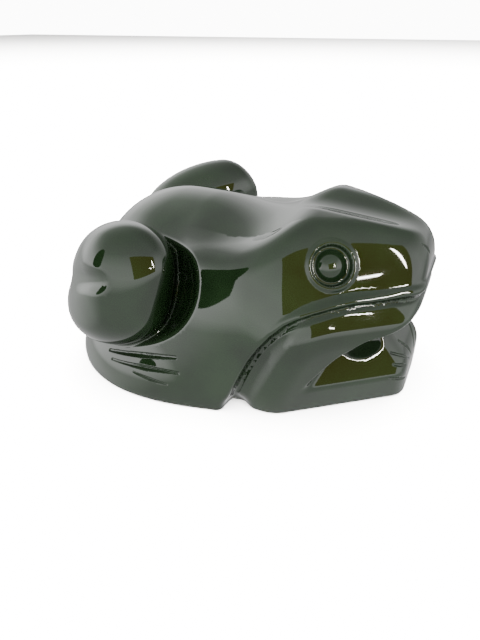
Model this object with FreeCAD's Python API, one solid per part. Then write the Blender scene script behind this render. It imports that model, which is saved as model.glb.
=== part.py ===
import FreeCAD
import Part
import math
import os

# Frog figurine carved from one block of nephrite jade.
# Millimetres, +Z up, head towards +X, flat ground base on Z = 0.
# It is modelled about the middle of the belly, and moved at the end so that the origin is the middle of
# its length and width on the base.
# Both sides of the plane Y = 0 are alike, but for the left haunch, which the carver set further back.

NODE = "frog_carving"

# --- driving dimensions -------------------------------------------------------------------------
REAR_X = -49.6              # rump
SNOUT_X = 47.6              # tip of the snout
BASE_ALLOWANCE = 3.0        # stock below the base, ground away at the end
REACH = 100.0               # longer than the block in any direction, for tools that cut right through
SECTION_SPANS = 16          # spans of the curve over one body section

# body blank: station along X, half width at the base, height, squareness of the arch
BODY_SECTIONS = [
    (REAR_X, 14.0, 9.0, 2.3),
    (-48.6, 23.0, 19.0, 2.4),
    (-46.0, 28.5, 28.0, 2.4),
    (-41.5, 32.8, 36.0, 2.4),
    (-34.0, 36.5, 42.0, 2.5),
    (-22.0, 38.3, 45.6, 2.6),
    (-8.0, 37.5, 45.5, 2.9),
    (6.0, 34.0, 44.8, 3.0),
    (13.0, 32.5, 47.0, 3.0),
    (20.0, 31.5, 48.7, 3.0),
    (28.0, 28.0, 48.6, 2.9),
    (36.0, 21.5, 47.0, 2.7),
    (43.0, 13.0, 43.7, 2.6),
    (SNOUT_X, 5.5, 38.5, 2.6),
]

# head
EYE_CENTRE = FreeCAD.Vector(27.0, -20.5, 38.9)
CHEEK_NORMAL = FreeCAD.Vector(0.25, -0.78, 0.57)
EYE_SOCKET_RADIUS = 4.7
EYE_SOCKET_DEPTH = 1.6
EYE_DOME_RADIUS = 3.2
EYE_DOME_RISE = 0.5         # top of the dome above the cheek
BROW_WHEEL_RADIUS = 16.0    # wheel that hollows the top of the head
BROW_VALLEY_START = FreeCAD.Vector(2.0, 0.0, 46.8)
BROW_VALLEY_END = FreeCAD.Vector(56.0, 0.0, 43.2)
NOSTRIL_RADIUS = 0.55
NOSTRIL_START = FreeCAD.Vector(44.4, -4.3, 42.6)
NOSTRIL_END = FreeCAD.Vector(46.6, -3.6, 39.6)

# mouth line in side view, from the snout back and down to the base
MOUTH_LINE = [(49.0, 30.6), (45.5, 30.4), (38.5, 30.0), (31.0, 29.6), (24.0, 27.8), (18.5, 24.8),
              (13.2, 18.6), (9.2, 11.0), (5.6, 3.5), (4.0, -1.0)]
MOUTH_WIDTH = 2.2
MOUTH_DEPTH = 1.8

# hollow under each jaw, and the slope from the chin down to the hands
RECESS_CENTRE = FreeCAD.Vector(36.5, -22.5, 14.0)
RECESS_RADII = (15.0, 7.5, 6.2)
RECESS_TURN = (40.0, -22.0, 0.0)
HAND_FACE_X = 46.5
CHIN_NOTCH = [(50.0, 24.6), (46.2, 22.4), (42.0, 17.6), (HAND_FACE_X, 8.8),
              (HAND_FACE_X, -2 * BASE_ALLOWANCE), (50.0, -2 * BASE_ALLOWANCE)]
CHIN_NOTCH_WIDTH = 32.0

# haunches: a dish cut in the flank, then a thigh lobe over a shank lobe standing in it
DISH_CENTRE = FreeCAD.Vector(-27.0, -36.0, 28.0)
DISH_RADII = (25.0, 15.5, 23.0)
THIGH_CENTRE = FreeCAD.Vector(-26.5, -27.0, 31.5)
THIGH_RADII = (19.5, 11.0, 12.0)
THIGH_TURN = (-38.0, -18.0, 0.0)
SHANK_CENTRE = FreeCAD.Vector(-30.0, -28.5, 18.0)
SHANK_RADII = (17.5, 11.0, 11.5)
SHANK_TURN = (-36.0, -4.0, 0.0)
LEFT_HAUNCH_SHIFT = FreeCAD.Vector(-3.5, 0.0, 1.8)

# toes and fingers, each groove from one end to the other in side view
TOE_GROOVES = [((-28.5, 9.2), (-6.0, 14.3)), ((-27.5, 6.0), (-4.5, 10.4)), ((-19.5, 4.2), (-8.0, 6.2))]
TOE_GROOVE_WIDTH = 0.8
TOE_GROOVE_DEPTH = 0.9
FINGER_GROOVE_RADIUS = 0.45
FINGER_HEIGHTS = (4.0, 7.6, 11.0)
FINGER_START = (-2.6, -9.5)     # behind the hand face, and across
FINGER_END = (0.2, -3.2)        # just ahead of the hand face, and across
FINGER_CLIMB = 0.6              # how much higher a groove ends than it starts


def placed(shape, centre, turn):
    """Turn a shape by yaw, pitch and roll in degrees, then move it to its centre."""
    shape.Placement = FreeCAD.Placement(centre, FreeCAD.Rotation(*turn))
    return shape


def ellipsoid(centre, radii, turn=(0.0, 0.0, 0.0)):
    """Solid ellipsoid with the given half axes."""
    stretch = FreeCAD.Matrix()
    stretch.scale(FreeCAD.Vector(*radii))
    return placed(Part.makeSphere(1.0).transformGeometry(stretch), centre, turn)


def rod(start, end, radius):
    """Round-ended rod between two points, the path of a small burr."""
    along = end - start
    shank = Part.makeCylinder(radius, along.Length, start, along)
    return shank.fuse([Part.makeSphere(radius, start), Part.makeSphere(radius, end)])


def both_sides(tool, left_shift=FreeCAD.Vector(0, 0, 0)):
    """The right-hand tool and its mirror image in the plane Y = 0, which may be shifted a little."""
    left = tool.mirror(FreeCAD.Vector(0, 0, 0), FreeCAD.Vector(0, 1, 0))
    left.translate(left_shift)
    return [tool, left]


def section_wire(station, half_width, height, squareness):
    """Arch of a superellipse standing on two short legs below the base."""
    power = 2.0 / squareness
    arch = []
    for step in range(SECTION_SPANS + 1):
        angle = math.pi * step / SECTION_SPANS
        across = abs(math.cos(angle)) ** power * math.copysign(half_width, math.cos(angle))
        arch.append(FreeCAD.Vector(station, across, height * abs(math.sin(angle)) ** power))
    crown = Part.BSplineCurve()
    crown.interpolate(arch)
    drop = FreeCAD.Vector(0, 0, -BASE_ALLOWANCE)
    right_foot = arch[0] + drop
    left_foot = arch[-1] + drop
    edges = [
        Part.makeLine(right_foot, arch[0]),
        crown.toShape(),
        Part.makeLine(arch[-1], left_foot),
        Part.makeLine(left_foot, right_foot),
    ]
    return Part.Wire(edges)


def body_blank(inset=0.0):
    """Rounded blank lofted through the body sections, drawn in by an inset all round."""
    wires = []
    for station, half_width, height, squareness in BODY_SECTIONS:
        held = min(max(station, REAR_X + inset), SNOUT_X - inset)
        wires.append(section_wire(held, half_width - inset, height - inset, squareness))
    return Part.makeLoft(wires, True, False)


def side_ribbon(points, width):
    """Band of constant width along a line in side view, right through the block in Y."""
    curve = Part.BSplineCurve()
    curve.interpolate([FreeCAD.Vector(x, 0, z) for x, z in points])
    edge = curve.toShape()
    first, last = edge.ParameterRange
    upper = []
    lower = []
    for step in range(len(points) * 2):
        at = first + (last - first) * step / (len(points) * 2 - 1)
        here = edge.valueAt(at)
        ahead = edge.tangentAt(at)
        offset = FreeCAD.Vector(-ahead.z, 0, ahead.x) * (width / 2)
        upper.append(here + offset)
        lower.append(here - offset)
    top = Part.BSplineCurve()
    top.interpolate(upper)
    bottom = Part.BSplineCurve()
    bottom.interpolate(lower)
    outline = Part.Wire([
        top.toShape(),
        Part.makeLine(upper[-1], lower[-1]),
        bottom.toShape(),
        Part.makeLine(lower[0], upper[0]),
    ])
    band = Part.Face(outline)
    band.translate(FreeCAD.Vector(0, -REACH, 0))
    return band.extrude(FreeCAD.Vector(0, 2 * REACH, 0))


def half_space():
    """Block on the plane Z = 0, which stands for all the space above it."""
    return Part.makeBox(2 * REACH, 2 * REACH, REACH, FreeCAD.Vector(-REACH, -REACH, 0))


def cheek_cut():
    """Block whose face is the ground flat of one cheek, carried through the eye centre."""
    block = half_space()
    turn = FreeCAD.Rotation(FreeCAD.Vector(0, 0, 1), CHEEK_NORMAL)
    block.Placement = FreeCAD.Placement(EYE_CENTRE, turn)
    return block


def eye_socket():
    """Ring groove of the core drill, with the dome of the eye left standing in it."""
    turn = FreeCAD.Rotation(FreeCAD.Vector(0, 0, 1), CHEEK_NORMAL)
    drill_travel = 2 * EYE_SOCKET_DEPTH
    well = Part.makeCylinder(EYE_SOCKET_RADIUS, drill_travel, FreeCAD.Vector(0, 0, -EYE_SOCKET_DEPTH))
    dome_height = EYE_DOME_RISE + EYE_SOCKET_DEPTH
    ball_radius = (EYE_DOME_RADIUS ** 2 + dome_height ** 2) / (2 * dome_height)
    dome = Part.makeSphere(ball_radius, FreeCAD.Vector(0, 0, EYE_DOME_RISE - ball_radius))
    socket = well.cut(dome)
    socket.Placement = FreeCAD.Placement(EYE_CENTRE, turn)
    return socket


def chin_notch():
    """Wedge between the chin and the hands, cut in from the front."""
    corners = [FreeCAD.Vector(x, -CHIN_NOTCH_WIDTH / 2, z) for x, z in CHIN_NOTCH]
    profile = Part.Face(Part.makePolygon(corners + corners[:1]))
    return profile.extrude(FreeCAD.Vector(0, CHIN_NOTCH_WIDTH, 0))


def finger_grooves():
    """Short level strokes round the outer front corner of one hand."""
    strokes = []
    for height in FINGER_HEIGHTS:
        start = FreeCAD.Vector(HAND_FACE_X + FINGER_START[0], FINGER_START[1], height)
        end = FreeCAD.Vector(HAND_FACE_X + FINGER_END[0], FINGER_END[1], height + FINGER_CLIMB)
        strokes.append(rod(start, end, FINGER_GROOVE_RADIUS))
    return strokes


def head_cuts():
    """Cheeks, brow valley, eyes and nostrils."""
    along = BROW_VALLEY_END - BROW_VALLEY_START
    wheel_axis = BROW_VALLEY_START + FreeCAD.Vector(0, 0, BROW_WHEEL_RADIUS)
    cuts = [Part.makeCylinder(BROW_WHEEL_RADIUS, along.Length, wheel_axis, along)]
    cuts += both_sides(cheek_cut())
    cuts += both_sides(eye_socket())
    cuts += both_sides(rod(NOSTRIL_START, NOSTRIL_END, NOSTRIL_RADIUS))
    return cuts


def front_cuts():
    """Hollows under the jaws, the notch under the chin and the gaps between the fingers."""
    cuts = both_sides(ellipsoid(RECESS_CENTRE, RECESS_RADII, RECESS_TURN))
    cuts.append(chin_notch())
    for stroke in finger_grooves():
        cuts += both_sides(stroke)
    return cuts


def engraved_lines():
    """Mouth line and toes, each a band less the stock that stays below its depth."""
    lines = [side_ribbon(MOUTH_LINE, MOUTH_WIDTH).cut(body_blank(MOUTH_DEPTH))]
    toe_core = body_blank(TOE_GROOVE_DEPTH)
    for start, end in TOE_GROOVES:
        lines.append(side_ribbon([start, end], TOE_GROOVE_WIDTH).cut(toe_core))
    return lines


def haunches():
    """Thigh lobe over shank lobe, both sides."""
    lobes = both_sides(ellipsoid(THIGH_CENTRE, THIGH_RADII, THIGH_TURN), LEFT_HAUNCH_SHIFT)
    lobes += both_sides(ellipsoid(SHANK_CENTRE, SHANK_RADII, SHANK_TURN), LEFT_HAUNCH_SHIFT)
    return lobes


def frog():
    dishes = both_sides(ellipsoid(DISH_CENTRE, DISH_RADII), LEFT_HAUNCH_SHIFT)
    carved = body_blank().cut(head_cuts())
    carved = carved.cut(front_cuts())
    for line in engraved_lines():
        carved = carved.cut(line)
    carved = carved.cut(dishes).fuse(haunches())

    # grind the base flat
    return carved.common(half_space())


os.makedirs("parts", exist_ok=True)
figure = frog()
solid = max(figure.Solids, key=lambda one: one.Volume)
solid.translate(FreeCAD.Vector(-(REAR_X + SNOUT_X) / 2, 0, 0))
solid.exportStep(os.path.join("parts", NODE + ".step"))
box = solid.BoundBox
print(NODE, "valid", solid.isValid(), "solids", len(figure.Solids), "volume", round(solid.Volume, 1))
print("box", [round(value, 2) for value in (box.XMin, box.XMax, box.YMin, box.YMax, box.ZMin, box.ZMax)])
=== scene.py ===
import math

import bpy
import numpy as np
from mathutils import Matrix, Vector


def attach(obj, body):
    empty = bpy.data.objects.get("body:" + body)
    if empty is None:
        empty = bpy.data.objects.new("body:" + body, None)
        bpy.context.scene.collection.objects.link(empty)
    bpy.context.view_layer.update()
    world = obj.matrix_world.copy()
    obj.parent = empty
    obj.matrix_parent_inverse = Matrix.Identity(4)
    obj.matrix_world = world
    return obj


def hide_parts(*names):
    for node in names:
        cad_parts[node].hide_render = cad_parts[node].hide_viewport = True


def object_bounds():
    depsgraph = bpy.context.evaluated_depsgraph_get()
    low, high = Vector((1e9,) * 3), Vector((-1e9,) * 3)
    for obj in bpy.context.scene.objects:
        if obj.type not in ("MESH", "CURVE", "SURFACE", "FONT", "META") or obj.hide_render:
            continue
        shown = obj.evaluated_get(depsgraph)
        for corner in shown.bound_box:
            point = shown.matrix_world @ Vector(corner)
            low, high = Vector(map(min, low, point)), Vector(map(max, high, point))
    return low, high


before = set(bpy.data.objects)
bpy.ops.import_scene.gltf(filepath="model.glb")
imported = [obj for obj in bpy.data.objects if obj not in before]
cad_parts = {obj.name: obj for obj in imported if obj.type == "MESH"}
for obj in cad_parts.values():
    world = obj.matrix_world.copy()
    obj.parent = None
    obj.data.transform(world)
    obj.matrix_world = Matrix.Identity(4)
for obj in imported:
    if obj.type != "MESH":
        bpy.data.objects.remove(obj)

cad_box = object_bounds()
MM = 0.001

# ---------------------------------------------------------------------------------------------
# Shaping tools. Sizes are millimetres in the row frame: +X to the head, +Z up, base on Z = 0.
# Each tool says how far a point stands outside a mass, and is negative inside. Masses are grown
# together with a fillet. A cutter takes away what it reaches, and its edge is polished round.
# ---------------------------------------------------------------------------------------------

TINY = 1e-6


def along(vectors, direction):
    """Distance of each point along a direction."""
    unit = np.array(direction, float)
    return vectors @ (unit / np.linalg.norm(unit))


def length(vectors):
    return np.sqrt((vectors * vectors).sum(axis=-1))


def ramp(values, start, end):
    """Rises from 0 at the start to 1 at the end."""
    return np.clip((values - start) / (end - start), 0.0, 1.0)


def facing(azimuth, elevation):
    """Unit normal that looks out from -Y towards +X by an azimuth, and up by an elevation."""
    around, up = math.radians(azimuth), math.radians(elevation)
    return np.array([math.sin(around) * math.cos(up), -math.cos(around) * math.cos(up), math.sin(up)])


def turn(yaw, pitch):
    """Axes of a mass turned about Z by yaw, with its front end lifted by pitch."""
    a, b = math.radians(yaw), math.radians(pitch)
    about_z = np.array([[math.cos(a), -math.sin(a), 0], [math.sin(a), math.cos(a), 0], [0, 0, 1]])
    lift = np.array([[math.cos(b), 0, -math.sin(b)], [0, 1, 0], [math.sin(b), 0, math.cos(b)]])
    return about_z @ lift


def grow(a, b, fillet):
    """Two masses joined with a fillet."""
    share = np.clip(0.5 + 0.5 * (b - a) / fillet, 0.0, 1.0)
    return b + (a - b) * share - fillet * share * (1.0 - share)


def keep(a, b, edge):
    """What two masses have in common, with a rounded edge."""
    return -grow(-a, -b, edge)


def cut(stone, tool, edge):
    """The stone less a tool, with the edge polished round."""
    return -grow(-stone, tool, edge)


def egg(points, centre, radii, turned=(0.0, 0.0), squareness=2.0):
    """An ellipsoid, or a squarer one."""
    local = np.abs((points - np.array(centre)) @ turn(*turned)) / np.array(radii) + TINY
    reach = (local ** squareness).sum(axis=-1) ** (1.0 / squareness)
    steepness = local ** (squareness - 1.0) / np.array(radii) / reach[..., None] ** (squareness - 1.0)
    return (reach - 1.0) / length(steepness)


def flat(points, through, outward):
    """Everything behind a flat face."""
    return along(points - np.array(through), outward)


def stroke(points, route, radii):
    """A round bar along a route, as thick at each point as its radius there."""
    nearest = None
    for start, end, thick, thin in zip(route, route[1:], radii, radii[1:]):
        a, step = np.array(start), np.array(end) - np.array(start)
        share = np.clip(((points - a) @ step) / (step @ step), 0.0, 1.0)
        gap = length(points - a - share[..., None] * step) - (thick + (thin - thick) * share)
        nearest = gap if nearest is None else np.minimum(nearest, gap)
    return nearest


def between(start, end, share):
    return tuple((1.0 - share) * a + share * b for a, b in zip(start, end))


def soften(route):
    """A route with each corner cut off at a quarter of the way to the next."""
    softer = [route[0]]
    for start, end in zip(route, route[1:]):
        softer += [between(start, end, 0.25), between(start, end, 0.75)]
    return softer + [route[-1]]


# ---------------------------------------------------------------------------------------------
# The frog. The right side (-Y) is described, and the left side mirrors it. A mass is given by
# its centre, its half axes and the way it is turned. A flat is given by a point on it and the
# way it faces.
# ---------------------------------------------------------------------------------------------

HIPS = ((-21.0, 0.0, 20.0), (27.0, 26.5, 25.0))
BELLY = ((-1.0, 0.0, 17.0), (27.0, 31.0, 26.5))
FEET = ((-16.0, -12.0, 2.0), (33.0, 28.0, 16.5))
TORSO_FILLET, NECK_FILLET = 8.0, 9.0


def torso(p):
    mass = grow(egg(p, *HIPS), egg(p, *BELLY), TORSO_FILLET)
    return grow(mass, egg(p, *FEET), TORSO_FILLET)


# a squarish mass with flats ground on it, each with the width of its polished edge
HEAD = ((10.0, 0.0, 12.0), (50.0, 35.5, 42.0))
HEAD_SQUARENESS = 2.3
EYE = (28.0, -20.7, 38.6)
CHEEK_OUTWARD = facing(31.0, 28.0)
CROWN = ((18.0, 0.0, 48.35), (0.08, 0.0, 1.0), 7.0)
NAPE = ((11.5, 0.0, 46.5), (-0.55, 0.0, 1.0), 4.0)
SNOUT = ((48.0, 0.0, 38.0), (1.0, 0.0, -0.05), 6.5)
UPPER_LIP = ((40.4, -18.2, 31.0), facing(37.0, 12.0), 2.0)
CHEEK = (EYE, CHEEK_OUTWARD, 3.5)


def head(p):
    mass = egg(p, *HEAD, squareness=HEAD_SQUARENESS)
    for through, outward, edge in (CROWN, NAPE, SNOUT, UPPER_LIP, CHEEK):
        mass = keep(mass, flat(p, through, outward), edge)
    return mass


FLANK = ((3.0, -33.0, 30.0), facing(-4.0, 25.0))
FLANK_EDGE = 5.0
SADDLE_STATION, SADDLE_HEIGHT = 2.5, 43.6
SADDLE_WHEEL_RADIUS = 15.0
SADDLE_DROOP = 0.013               # how fast the dip falls away to the sides
SADDLE_HALF_WIDTH = 16.0
SADDLE_EDGE = 6.0


def carve_saddle(stone, p):
    """Dip ground across the neck by the rim of a wheel."""
    fallen = p[..., 2] + SADDLE_DROOP * np.minimum(p[..., 1] ** 2, SADDLE_HALF_WIDTH ** 2)
    above = fallen - SADDLE_HEIGHT - SADDLE_WHEEL_RADIUS
    dip = np.hypot(p[..., 0] - SADDLE_STATION, above) - SADDLE_WHEEL_RADIUS
    return cut(stone, dip, SADDLE_EDGE)


# mouth line in side view, from ahead of the snout to the base beside the elbow
MOUTH = soften([(60.0, 30.8), (46.5, 30.5), (39.5, 30.0), (32.2, 29.9), (25.0, 28.0), (20.0, 25.2),
                (15.0, 18.6), (11.6, 11.0), (8.4, 3.0), (7.0, -3.0)])


def height_over_lip(p):
    """Distance above and behind the mouth line, negative in the lower jaw and the upper arm."""
    xs, zs = zip(*MOUTH[::-1])
    side = np.where(p[..., 2] < np.interp(p[..., 0], xs, zs), -1.0, 1.0)
    seen_from_side = np.stack([p[..., 0], 0.0 * p[..., 1], p[..., 2]], axis=-1)
    return side * stroke(seen_from_side, [(x, 0.0, z) for x, z in MOUTH], [0.0] * len(MOUTH))


# lower jaw, upper arm and hands: one mass, flared out below the lip and undercut below the jaw
JAW = ((15.0, 0.0, 12.0), (38.0, 33.0, 25.0))
JAW_SQUARENESS = 3.0
JAW_SIDE = ((40.5, -18.3, 29.0), facing(38.0, 28.0))
JAW_SIDE_EDGE = 2.5
JAW_UNDER_LIP = 1.5                # how far the jaw runs on up under the lip
JAW_TOP_EDGE = 1.0
FOREARM_SIDE = ((37.5, -17.3, 0.0), (0.622, -0.784, -0.235))
FOREARM_EDGE = 2.0


def jaw_and_arm(p, above_lip):
    mass = egg(p, *JAW, squareness=JAW_SQUARENESS)
    mass = keep(mass, flat(p, *JAW_SIDE), JAW_SIDE_EDGE)
    mass = keep(mass, above_lip - JAW_UNDER_LIP, JAW_TOP_EDGE)
    return keep(mass, flat(p, *FOREARM_SIDE), FOREARM_EDGE)


# flats of the cutters that open the front: each faces out of the cutter
HOLLOW_ROOF = ((44.6, -13.4, 23.6), (-0.26, -0.10, 0.96))
HOLLOW_FLOOR = ((37.3, -20.0, 7.6), -facing(38.0, 31.0))
HOLLOW_END = ((28.5, -31.0, 11.0), (-0.74, -0.25, 0.62))
HOLLOW_CORNER, HOLLOW_END_CORNER, HOLLOW_EDGE = 1.5, 2.5, 0.7
RECESS = ((38.6, -18.0, 18.0), (8.0, 7.0, 5.2), (40.0, 0.0))
RECESS_EDGE = 0.5
HAND_X = 47.5
CHIN_ROOF = ((46.0, 0.0, 24.0), (-0.62, 0.0, 1.0))
HAND_SLOPE = ((HAND_X, 0.0, 10.5), (-0.75, 0.0, -0.66))
CHIN_CORNER, CHIN_EDGE = 2.5, 2.0
BELOW_CHIN = ((0.0, 0.0, 20.0), (0.0, 0.0, 1.0))
BEFORE_HANDS = ((HAND_X, 0.0, 0.0), (-1.0, 0.0, 0.0))
HAND_EDGE = 2.5
BEFORE_JAW = ((48.6, 0.0, 28.0), (-1.0, 0.0, 0.25))
JAW_MIDDLE, JAW_HALF_HEIGHT = 25.0, 5.5
JAW_FRONT_EDGE = 3.0
FACE_CORNER = 1.0


def carve_front(stone, p):
    """Hollow between jaw and forearm, notch under the chin, and the upright face of the hands."""
    hollow = keep(flat(p, *HOLLOW_ROOF), flat(p, *HOLLOW_FLOOR), HOLLOW_CORNER)
    hollow = keep(hollow, flat(p, *HOLLOW_END), HOLLOW_END_CORNER)
    stone = cut(stone, hollow, HOLLOW_EDGE)
    stone = cut(stone, egg(p, *RECESS), RECESS_EDGE)
    stone = cut(stone, keep(flat(p, *CHIN_ROOF), flat(p, *HAND_SLOPE), CHIN_CORNER), CHIN_EDGE)
    stone = cut(stone, keep(flat(p, *BELOW_CHIN), flat(p, *BEFORE_HANDS), FACE_CORNER), HAND_EDGE)
    jaw_height = np.abs(p[..., 2] - JAW_MIDDLE) - JAW_HALF_HEIGHT
    return cut(stone, keep(flat(p, *BEFORE_JAW), jaw_height, FACE_CORNER), JAW_FRONT_EDGE)


BROW_WHEEL_RADIUS = 20.0
BROW_STATION, BROW_HEIGHT = 18.0, 46.0
BROW_FALL = 0.082                  # how fast the valley drops towards the snout
BROW_EDGE = 1.2


def carve_brow(stone, p):
    """Valley ground down the middle of the head by the rim of a wheel."""
    axis_height = BROW_WHEEL_RADIUS + BROW_HEIGHT - BROW_FALL * (p[..., 0] - BROW_STATION)
    wheel = np.hypot(p[..., 1], p[..., 2] - axis_height) - BROW_WHEEL_RADIUS
    return cut(stone, wheel, BROW_EDGE)


RIM_START, RIM_FULL = 12.0, 24.0           # stations where the lip's rim begins and is full
TROUGH_NARROW, TROUGH_FULL = 28.0, 18.0    # stations between which the trough widens
TROUGH_BELOW, TROUGH_OUTSIDE = 2.2, 2.4    # axis of the trough below the line and off the skin
TROUGH_RADIUS, TROUGH_WIDENING, TROUGH_EDGE = 1.0, 2.2, 1.5
RIM_ABOVE, RIM_INSIDE = 1.7, 0.6           # axis of the rim above the line and under the skin
RIM_SUNK, RIM_RISE, RIM_FILLET = 0.9, 2.1, 0.8
GROOVE_RADIUS, GROOVE_EDGE = 0.5, 0.9


def carve_mouth(stone, p, above_lip):
    """Rounded rim of the upper lip, the mouth groove below it, and the trough it opens into."""
    rim_share = ramp(p[..., 0], RIM_START, RIM_FULL)
    widening = TROUGH_WIDENING * ramp(p[..., 0], TROUGH_NARROW, TROUGH_FULL)
    trough = np.hypot(above_lip + TROUGH_BELOW, stone - TROUGH_OUTSIDE) - TROUGH_RADIUS - widening
    stone = cut(stone, trough, TROUGH_EDGE)
    rim = np.hypot(above_lip - RIM_ABOVE, stone + RIM_INSIDE) + RIM_SUNK - RIM_RISE * rim_share
    stone = grow(stone, rim, RIM_FILLET)
    return cut(stone, np.hypot(above_lip, stone) - GROOVE_RADIUS, GROOVE_EDGE)


DISH = ((-26.0, -36.0, 32.0), (25.0, 18.0, 19.0))
THIGH = ((-24.8, -28.3, 31.3), (18.4, 12.3, 12.0), (-38.0, 22.0))
SHANK = ((-27.9, -29.0, 19.8), (17.4, 12.5, 9.8), (-36.0, 12.0))
LEFT_THIGH = ((-32.2, -29.5, 33.0), (22.0, 11.0, 11.5), (-38.0, 16.0))
LEFT_SHANK = ((-31.0, -29.3, 21.0), (17.8, 11.5, 9.8), (-36.0, 12.0))
THIGH_FACE = ((-12.0, -37.0, 35.2), facing(33.0, 26.0))
KNEE_NOTCH = [(-55.0, -22.0, 24.5), (-49.0, -31.0, 27.0), (-38.0, -39.5, 30.6), (-22.0, -43.0, 34.0)]
KNEE_NOTCH_RADII = [5.5, 4.4, 2.6, 0.6]
DISH_EDGE, THIGH_FACE_EDGE, KNEE_NOTCH_EDGE = 1.5, 5.0, 3.5
BEAN_FILLET, BEAN_FOOT_FILLET = 9.0, 1.0


def carve_haunch(stone, p, on_left):
    """Dish in the flank, with the thigh and shank standing in it as one bean with a notch."""
    stone = cut(stone, egg(p, *DISH), DISH_EDGE)
    thigh = np.where(on_left, egg(p, *LEFT_THIGH), egg(p, *THIGH))
    shank = np.where(on_left, egg(p, *LEFT_SHANK), egg(p, *SHANK))
    bean = keep(grow(thigh, shank, BEAN_FILLET), flat(p, *THIGH_FACE), THIGH_FACE_EDGE)
    bean = cut(bean, stroke(p, KNEE_NOTCH, KNEE_NOTCH_RADII), KNEE_NOTCH_EDGE)
    return grow(stone, bean, BEAN_FOOT_FILLET)


RIM_RADIUS, RIM_DEPTH, RIM_THICKNESS, EYE_FILLET = 5.3, 0.35, 0.75, 0.5
WELL_RADIUS, WELL_DEPTH, WELL_CORNER, WELL_EDGE = 4.75, 1.4, 0.8, 0.4
DOME_CENTRE_DEPTH, DOME_RADIUS = 4.0, 4.45


def carve_eye(stone, p):
    """Ring groove of a core drill, the dome left inside it, and a thin raised rim around it."""
    height = (p - np.array(EYE)) @ CHEEK_OUTWARD
    radius = length(p - np.array(EYE) - height[..., None] * CHEEK_OUTWARD)
    rim = np.hypot(radius - RIM_RADIUS, height + RIM_DEPTH) - RIM_THICKNESS
    stone = grow(stone, rim, EYE_FILLET)
    well = keep(radius - WELL_RADIUS, -(height + WELL_DEPTH), WELL_CORNER)
    stone = cut(stone, well, WELL_EDGE)
    dome = length(p - np.array(EYE) + CHEEK_OUTWARD * DOME_CENTRE_DEPTH) - DOME_RADIUS
    return grow(stone, dome, EYE_FILLET)


# engraved lines: toes drawn in side view, fingers and nostrils from the front
TOES = [[(-27.3, 0.0, 9.1), (-16.2, 0.0, 11.2), (-5.8, 0.0, 13.3)],
        [(-25.6, 0.0, 7.6), (-14.7, 0.0, 8.7), (-4.6, 0.0, 9.6)],
        [(-17.6, 0.0, 6.9), (-12.6, 0.0, 6.4), (-7.4, 0.0, 6.1)]]
TOE_DEPTHS = [(0.3, 0.6, 0.45), (0.25, 0.5, 0.35), (0.1, 0.35, 0.2)]
FINGERS = [[(0.0, -11.0, 13.2), (0.0, -8.0, 11.2), (0.0, -5.0, 9.2)],
           [(0.0, -12.0, 10.6), (0.0, -10.5, 10.0), (0.0, -9.0, 9.5)],
           [(0.0, -14.0, 7.6), (0.0, -11.5, 6.6), (0.0, -9.0, 5.7)],
           [(0.0, -6.5, 14.6), (0.0, -4.0, 11.8), (0.0, -2.0, 8.6)]]
FINGER_DEPTHS = (0.3, 0.45, 0.15)
NOSTRIL = [(0.0, -6.4, 41.7), (0.0, -5.2, 40.4), (0.0, -4.2, 39.0)]
NOSTRIL_DEPTHS = (0.1, 0.4, 0.25)
SIDE_VIEW, FRONT_VIEW = (1.0, 0.0, 1.0), (0.0, 1.0, 1.0)
GROOVE_LIP = 0.2                   # polished edge of an engraved line
FAR_OFF = 1.0                      # stands clear of the stone, so it cuts nothing


def engrave(stone, p, view, route, depths):
    """A groove cut by a thin wheel, drawn in one view and as deep at each point as told."""
    drawn = p * np.array(view)
    tool = None
    for start, end, first, last in zip(route, route[1:], depths, depths[1:]):
        a, step = np.array(start), np.array(end) - np.array(start)
        share = np.clip(((drawn - a) @ step) / (step @ step), 0.0, 1.0)
        gap = length(drawn - a - share[..., None] * step)
        bar = np.hypot(gap, stone) - (first + (last - first) * share)
        tool = bar if tool is None else np.minimum(tool, bar)
    if view == FRONT_VIEW:
        tool = np.where(p[..., 0] > 0.0, tool, FAR_OFF)
    return cut(stone, tool, GROOVE_LIP)


ENGRAVED = ([(SIDE_VIEW, route, depths) for route, depths in zip(TOES, TOE_DEPTHS)]
            + [(FRONT_VIEW, route, FINGER_DEPTHS) for route in FINGERS]
            + [(FRONT_VIEW, NOSTRIL, NOSTRIL_DEPTHS)])
LIP_EDGE = 0.8
ELBOW_NOTCH = ((9.8, -36.5, 0.0), (2.8, 6.5, 3.8))
ELBOW_NOTCH_EDGE = 2.0
BASE_EDGE = 0.8


def stone(points):
    """Distance of each point outside the finished carving."""
    points = np.asarray(points, float)
    p = points.copy()
    p[..., 1] = -np.abs(p[..., 1])
    mass = grow(torso(p), head(p), NECK_FILLET)
    mass = keep(mass, flat(p, *FLANK), FLANK_EDGE)
    mass = carve_saddle(mass, p)
    above_lip = height_over_lip(p)
    mass = cut(mass, above_lip, LIP_EDGE)
    mass = grow(mass, jaw_and_arm(p, above_lip), LIP_EDGE)
    mass = carve_front(mass, p)
    mass = carve_brow(mass, p)
    mass = carve_mouth(mass, p, above_lip)
    mass = carve_haunch(mass, p, points[..., 1] > 0)
    mass = carve_eye(mass, p)
    mass = cut(mass, egg(p, *ELBOW_NOTCH), ELBOW_NOTCH_EDGE)
    for view, route, depths in ENGRAVED:
        mass = engrave(mass, p, view, route, depths)
    return keep(mass, -p[..., 2], BASE_EDGE)


# ---------------------------------------------------------------------------------------------
# The piece: the block is sawn roughly to shape, then every point is brought down to the stone
# the way a carver works, coarse first and finer wherever the surface turns sharply.
# ---------------------------------------------------------------------------------------------

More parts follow.
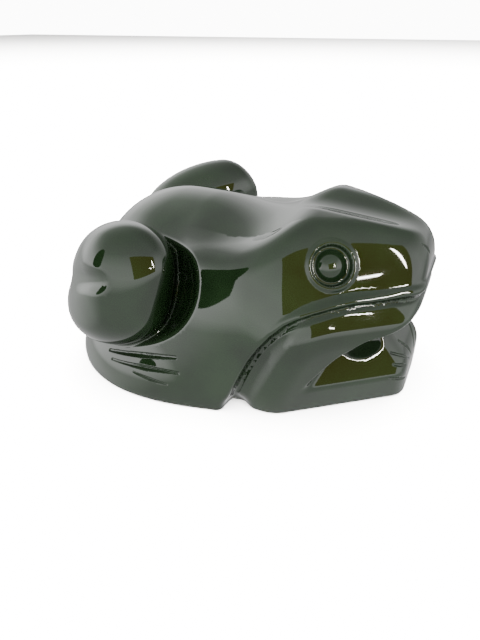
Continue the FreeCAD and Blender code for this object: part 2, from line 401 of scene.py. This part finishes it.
SAW_STEP = 1.0                       # millimetres
SPARE_STEPS = 3                      # empty steps kept outside the block on every side
COARSE, MEDIUM = 1.2, 0.95           # remesh spacing in millimetres
REFINE_TURNING = (20.0, 30.0)         # degrees of turn along an edge that ask for a finer cut
PROBE = 0.02                         # millimetres either side of a point, for its normal
TETRAHEDRON = np.array([(1, 1, 1), (1, -1, -1), (-1, 1, -1), (-1, -1, 1)], float)
LEAST_STEEPNESS = 0.3
LONGEST_STEP = 3.0                   # millimetres that a point moves in one pass
SHORTEST_STEP = 1e-9
RELAX_SHARE = 0.5
REMESH_RELAXING, REMESH_PASSES = 3, 4
REFINE_RELAXING, REFINE_PASSES = 2, 3


def slope(points):
    """Gradient of the distance function at each point."""
    total = np.zeros_like(points)
    for corner in TETRAHEDRON:
        total += stone(points + PROBE * corner)[:, None] * corner
    return total / (4.0 * PROBE)


def normals_at(points):
    gradient = slope(points)
    return gradient / length(gradient)[:, None]


def read_points(mesh):
    flat_list = np.empty(len(mesh.vertices) * 3)
    mesh.vertices.foreach_get("co", flat_list)
    return flat_list.reshape(-1, 3) / MM


def write_points(mesh, points):
    mesh.vertices.foreach_set("co", (points * MM).ravel())
    mesh.update()


def carve_down(mesh, passes):
    """Moves every point of the mesh onto the stone, along its own normal."""
    points = read_points(mesh)
    for _ in range(passes):
        gradient = slope(points)
        steep = np.maximum((gradient * gradient).sum(axis=-1), LEAST_STEEPNESS)
        step = -stone(points)[:, None] * gradient / steep[:, None]
        reach = np.maximum(length(step), SHORTEST_STEP)[:, None]
        points = points + step * np.minimum(1.0, LONGEST_STEP / reach)
    write_points(mesh, points)


def relax(obj, passes):
    """Evens out the spacing of the points."""
    smooth = obj.modifiers.new("relax", "SMOOTH")
    smooth.factor = RELAX_SHARE
    smooth.iterations = passes
    bpy.ops.object.modifier_apply(modifier=smooth.name)


def remesh(obj, spacing):
    voxels = obj.modifiers.new("remesh", "REMESH")
    voxels.mode = "VOXEL"
    voxels.voxel_size = spacing * MM
    bpy.ops.object.modifier_apply(modifier=voxels.name)


def rough_block():
    """The block sawn roughly to shape in small steps, as a closed mesh of squares."""
    low = np.floor(np.array(cad_box[0]) / (MM * SAW_STEP)) - SPARE_STEPS
    counts = (np.ceil(np.array(cad_box[1]) / (MM * SAW_STEP)) + SPARE_STEPS - low).astype(int)
    cells = np.indices(counts).reshape(3, -1).T
    kept = (stone((low + cells + 0.5) * SAW_STEP) < 0.0).reshape(counts)
    squares = []
    for axis in range(3):
        ahead = np.roll(kept, -1, axis)
        across, up = np.roll(np.eye(3, dtype=int), -axis - 1, axis=0)[:2]
        for leaving in (True, False):
            corner = np.argwhere((kept != ahead) & (kept == leaving))
            corner[:, axis] += 1
            ring = [corner, corner + across, corner + across + up, corner + up]
            squares.append(np.stack(ring if leaving else ring[::-1], axis=1))
    corners = np.concatenate(squares).reshape(-1, 3)
    points, index = np.unique(corners, axis=0, return_inverse=True)
    mesh = bpy.data.meshes.new("jade_frog")
    mesh.from_pydata((low + points) * (SAW_STEP * MM), [], index.reshape(-1, 4).tolist())
    block = bpy.data.objects.new("jade_frog", mesh)
    bpy.context.collection.objects.link(block)
    return block


def refine(obj, turning):
    """Cuts finer the faces beside any edge along which the stone turns by more than an angle."""
    mesh = obj.data
    normals = normals_at(read_points(mesh))
    ends = np.empty(len(mesh.edges) * 2, dtype=int)
    mesh.edges.foreach_get("vertices", ends)
    ends = ends.reshape(-1, 2)
    agree = (normals[ends[:, 0]] * normals[ends[:, 1]]).sum(axis=-1)
    chosen = np.zeros(len(mesh.vertices), dtype=bool)
    chosen[ends[agree < math.cos(math.radians(turning))]] = True
    faces = np.array([chosen[list(face.vertices)].any() for face in mesh.polygons])
    bpy.ops.object.mode_set(mode="EDIT")
    bpy.ops.mesh.select_mode(type="FACE")
    bpy.ops.mesh.select_all(action="DESELECT")
    bpy.ops.object.mode_set(mode="OBJECT")
    mesh.polygons.foreach_set("select", faces)
    bpy.ops.object.mode_set(mode="EDIT")
    bpy.ops.mesh.subdivide(number_cuts=1)
    bpy.ops.mesh.select_all(action="SELECT")
    bpy.ops.mesh.quads_convert_to_tris(quad_method="SHORTEST_DIAGONAL")
    bpy.ops.mesh.select_all(action="DESELECT")
    bpy.ops.object.mode_set(mode="OBJECT")


def carve_frog():
    bpy.ops.object.select_all(action="DESELECT")
    carving = rough_block()
    bpy.context.view_layer.objects.active = carving
    carving.select_set(True)
    for spacing in (COARSE, MEDIUM):
        remesh(carving, spacing)
        relax(carving, REMESH_RELAXING)
        carve_down(carving.data, REMESH_PASSES)
    for turning in REFINE_TURNING:
        refine(carving, turning)
        relax(carving, REFINE_RELAXING)
        carve_down(carving.data, REFINE_PASSES)
    bpy.ops.object.shade_smooth()
    carving.data.normals_split_custom_set_from_vertices(normals_at(read_points(carving.data)))
    return carving


# ---------------------------------------------------------------------------------------------
# Finish
# ---------------------------------------------------------------------------------------------

JADE_IOR = 1.61
JADE_ROUGHNESS = 0.035                   # buffed until it mirrors
STONE_DARK, STONE_PALE = "#162513", "#21341d"
DARK_SHARE, PALE_SHARE = 0.35, 0.70      # where in the clouds the darkest and the palest stone lie
CLOUDS_PER_METRE = 1.0 / (14.0 * MM)     # clouds in the stone are about 14 mm across
CLOUD_DETAIL, CLOUD_ROUGHNESS = 3.0, 0.5
PAPER_ROUGHNESS, PAPER_SPECULAR = 0.9, 0.1


def linear(hex_colour):
    """An sRGB hex colour as linear values."""
    steps = [int(hex_colour[i:i + 2], 16) / 255.0 for i in (1, 3, 5)]
    return [s / 12.92 if s <= 0.04045 else ((s + 0.055) / 1.055) ** 2.4 for s in steps] + [1.0]


def add_node(tree, kind, links=(), **settings):
    """Adds a node, sets its sockets and properties, and links (socket, source) pairs to it."""
    node = tree.nodes.new(kind)
    for name, value in settings.items():
        if hasattr(node, name):
            setattr(node, name, value)
        else:
            node.inputs[name.replace("_", " ")].default_value = value
    for socket, source in links:
        tree.links.new(source, node.inputs[socket])
    return node


def shaded(name):
    """A new material, with its node tree and its shader."""
    material = bpy.data.materials.new(name)
    material.use_nodes = True
    tree = material.node_tree
    return material, tree, next(n for n in tree.nodes if n.type == "BSDF_PRINCIPLED")


def nephrite():
    """Nephrite jade, lapped and buffed to a wet gloss: near-black spinach green under a clear
    mirror-like polish, with faint cloudy mottling in the stone."""
    material, tree, shader = shaded("nephrite_polished")
    place = add_node(tree, "ShaderNodeTexCoord").outputs["Object"]
    clouds = add_node(tree, "ShaderNodeTexNoise", [("Vector", place)], Scale=CLOUDS_PER_METRE,
                      Detail=CLOUD_DETAIL, Roughness=CLOUD_ROUGHNESS)
    tint = add_node(tree, "ShaderNodeValToRGB", [("Fac", clouds.outputs["Fac"])])
    dark, pale = tint.color_ramp.elements
    dark.position, dark.color = DARK_SHARE, linear(STONE_DARK)
    pale.position, pale.color = PALE_SHARE, linear(STONE_PALE)
    tree.links.new(tint.outputs["Color"], shader.inputs["Base Color"])
    shader.inputs["IOR"].default_value = JADE_IOR
    shader.inputs["Roughness"].default_value = JADE_ROUGHNESS
    return material


def matt_paper(name, colour):
    """Uncoated white paper, rolled out flat."""
    material, _, shader = shaded(name)
    shader.inputs["Base Color"].default_value = linear(colour)
    shader.inputs["Roughness"].default_value = PAPER_ROUGHNESS
    shader.inputs["Specular IOR Level"].default_value = PAPER_SPECULAR
    return material


def glowing(name, colour, level):
    """Something that only gives light."""
    material = bpy.data.materials.new(name)
    material.use_nodes = True
    tree = material.node_tree
    tree.nodes.clear()
    out = add_node(tree, "ShaderNodeOutputMaterial")
    glow = add_node(tree, "ShaderNodeEmission", Color=colour, Strength=level)
    tree.links.new(glow.outputs["Emission"], out.inputs["Surface"])
    return material


# ---------------------------------------------------------------------------------------------
# Studio: a white tent with one dim opening and its lamps, and a dark stand in front of it
# ---------------------------------------------------------------------------------------------

FROG_MIDDLE = (0.01, -0.015, 0.028)

# brightness of the tent by height: floor, skirting, walls, then the dimmer roof
TENT_LEVEL = 2.4
TENT_SHADES = [(0.0, 0.42), (0.46, 0.45), (0.52, 0.8), (0.6, 0.95), (0.72, 0.85), (0.84, 0.45), (1.0, 0.32)]
# soft patches of the tent: azimuth, elevation, cosine where the patch starts, share in its middle
WINDOW_SIDE = (-66.0, 6.0, 0.62, 1.9)
DIM_BACK = (160.0, 20.0, 0.35, 0.5)

FLOOR_SIZE, FLOOR_COLOUR = 6.0, "#cfcecc"
FLOOR_LIGHT_WATTS, FLOOR_LIGHT_SIZE, FLOOR_LIGHT_HEIGHT = 1500.0, 3.0, 1.2
BACKDROP_SIZE, BACKDROP_BEHIND, BACKDROP_LEVEL = 8.0, 3.0, 12.0
BACKDROP_COLOUR = (1.0, 1.0, 0.99, 1.0)
OPENING_COLOUR = (0.55, 0.44, 0.08, 1.0)
STAND_COLOUR = (0.002, 0.002, 0.002, 1.0)
LAMP_COLOUR, LAMP_LEVEL = (1.0, 0.97, 0.92, 1.0), 150.0
ROUND_SIDES = 48

# where each card stands around the frog: azimuth, elevation, distance, width, height
TENT_OPENING = (49.0, 27.0, 0.40, 0.325, 0.22)
CAMERA_STAND = (-35.0, 24.0, 0.30, 0.11, 0.20)
LAMP_LOW = (56.0, 22.0, 0.38, 0.034, 0.0042)
LAMP_SIDE = (65.5, 27.5, 0.38, 0.011, 0.095)
LAMP_LOW_SPIN, LAMP_SIDE_SPIN = 28.0, -8.0

CAMERA_PLACE = (0.0549, -0.1279, 0.087)
CAMERA_TILT, CAMERA_TURN = 60.0, 25.0
CAMERA_LENS, CAMERA_SENSOR, CAMERA_NEAREST = 29.25, 36.0, 0.005


def add_plane(name, size, place, material, tilt=0.0):
    bpy.ops.mesh.primitive_plane_add(size=size, location=place, rotation=(math.radians(tilt), 0.0, 0.0))
    plane = bpy.context.object
    plane.name = name
    plane.data.materials.append(material)
    return plane


def card(name, stand, material, spin=0.0, rounded=False):
    """A flat card around the frog, seen from it at an azimuth from -Y towards +X and an elevation."""
    azimuth, elevation, distance, width, height = stand
    outward = Vector(facing(azimuth, elevation))
    place = Vector(FROG_MIDDLE) + outward * distance
    if rounded:
        bpy.ops.mesh.primitive_circle_add(vertices=ROUND_SIDES, radius=0.5, fill_type="NGON", location=place)
    else:
        bpy.ops.mesh.primitive_plane_add(size=1.0, location=place)
    panel = bpy.context.object
    panel.name = name
    panel.scale = (width, height, 1.0)
    turned = (-outward).to_track_quat("Z", "Y").to_matrix().to_4x4()
    panel.rotation_euler = (turned @ Matrix.Rotation(math.radians(spin), 4, "Z")).to_euler()
    panel.data.materials.append(material)
    panel.visible_camera = False
    panel.visible_shadow = False
    panel.visible_diffuse = False


def tent_share(tree, direction, azimuth, elevation, start, share):
    """Brightness of the tent beside a soft patch: 1 away from it, and the share in its middle."""
    middle = add_node(tree, "ShaderNodeVectorMath", [(0, direction)], operation="DOT_PRODUCT")
    middle.inputs[1].default_value = tuple(facing(azimuth, elevation))
    patch = add_node(tree, "ShaderNodeMapRange", [("Value", middle.outputs["Value"])],
                     interpolation_type="SMOOTHSTEP", From_Min=start, To_Max=share, To_Min=1.0)
    return patch.outputs["Result"]


def product(tree, first, second):
    """Two values multiplied. The second is a socket or a number."""
    times = add_node(tree, "ShaderNodeMath", [(0, first)], operation="MULTIPLY")
    if isinstance(second, float):
        times.inputs[1].default_value = second
    else:
        tree.links.new(second, times.inputs[1])
    return times.outputs[0]


def tent():
    """White fabric all round, whose brightness changes with height and softly to the sides."""
    world = bpy.data.worlds.new("tent")
    bpy.context.scene.world = world
    world.use_nodes = True
    tree = world.node_tree
    sky = next(n for n in tree.nodes if n.type == "BACKGROUND")
    direction = add_node(tree, "ShaderNodeTexCoord").outputs["Generated"]
    height = add_node(tree, "ShaderNodeSeparateXYZ", [("Vector", direction)]).outputs["Z"]
    share = add_node(tree, "ShaderNodeMapRange", [("Value", height)], From_Min=-1.0, From_Max=1.0)
    walls = add_node(tree, "ShaderNodeValToRGB", [("Fac", share.outputs["Result"])])
    shades = walls.color_ramp
    while len(shades.elements) < len(TENT_SHADES):
        shades.elements.new(1.0)
    for element, (height_share, shade) in zip(shades.elements, TENT_SHADES):
        element.position, element.color = height_share, (shade, shade, shade, 1.0)
    tree.links.new(walls.outputs["Color"], sky.inputs["Color"])
    bright = tent_share(tree, direction, *WINDOW_SIDE)
    dim = tent_share(tree, direction, *DIM_BACK)
    tree.links.new(product(tree, product(tree, bright, dim), TENT_LEVEL), sky.inputs["Strength"])


def paper_sweep():
    """Paper floor and backdrop. They are lit on their own, and the stone mirrors the tent, not them."""
    floor = add_plane("floor", FLOOR_SIZE, (0.0, 0.0, 0.0), matt_paper("paper_floor", FLOOR_COLOUR))
    bpy.ops.object.light_add(type="AREA", location=(0.0, 0.0, FLOOR_LIGHT_HEIGHT))
    light = bpy.context.object
    light.name = "sweep_light"
    light.data.shape = "SQUARE"
    light.data.size = FLOOR_LIGHT_SIZE
    light.data.energy = FLOOR_LIGHT_WATTS
    only_floor = bpy.data.collections.new("sweep")
    only_floor.objects.link(floor)
    light.light_linking.receiver_collection = only_floor
    light.visible_glossy = False
    light.visible_camera = False
    lit_paper = glowing("lit_paper", BACKDROP_COLOUR, BACKDROP_LEVEL)
    backdrop = add_plane("backdrop", BACKDROP_SIZE, (0.0, BACKDROP_BEHIND, 0.0), lit_paper, tilt=90.0)
    for paper in (floor, backdrop):
        paper.visible_glossy = False
        paper.visible_diffuse = False


def studio():
    tent()
    paper_sweep()
    lamp = glowing("lamp_strip", LAMP_COLOUR, LAMP_LEVEL)
    card("tent_opening", TENT_OPENING, glowing("dim_room", OPENING_COLOUR, 1.0))
    card("camera_stand", CAMERA_STAND, glowing("black_stand", STAND_COLOUR, 1.0), rounded=True)
    card("lamp_low", LAMP_LOW, lamp, spin=LAMP_LOW_SPIN)
    card("lamp_side", LAMP_SIDE, lamp, spin=LAMP_SIDE_SPIN, rounded=True)


def camera():
    bpy.ops.object.camera_add(location=CAMERA_PLACE,
                              rotation=(math.radians(CAMERA_TILT), 0.0, math.radians(CAMERA_TURN)))
    eye = bpy.context.object
    eye.data.lens = CAMERA_LENS
    eye.data.sensor_width = CAMERA_SENSOR
    eye.data.clip_start = CAMERA_NEAREST
    bpy.context.scene.camera = eye


frog = carve_frog()
frog.data.materials.append(nephrite())
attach(frog, "root")
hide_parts("frog_carving")
studio()
camera()
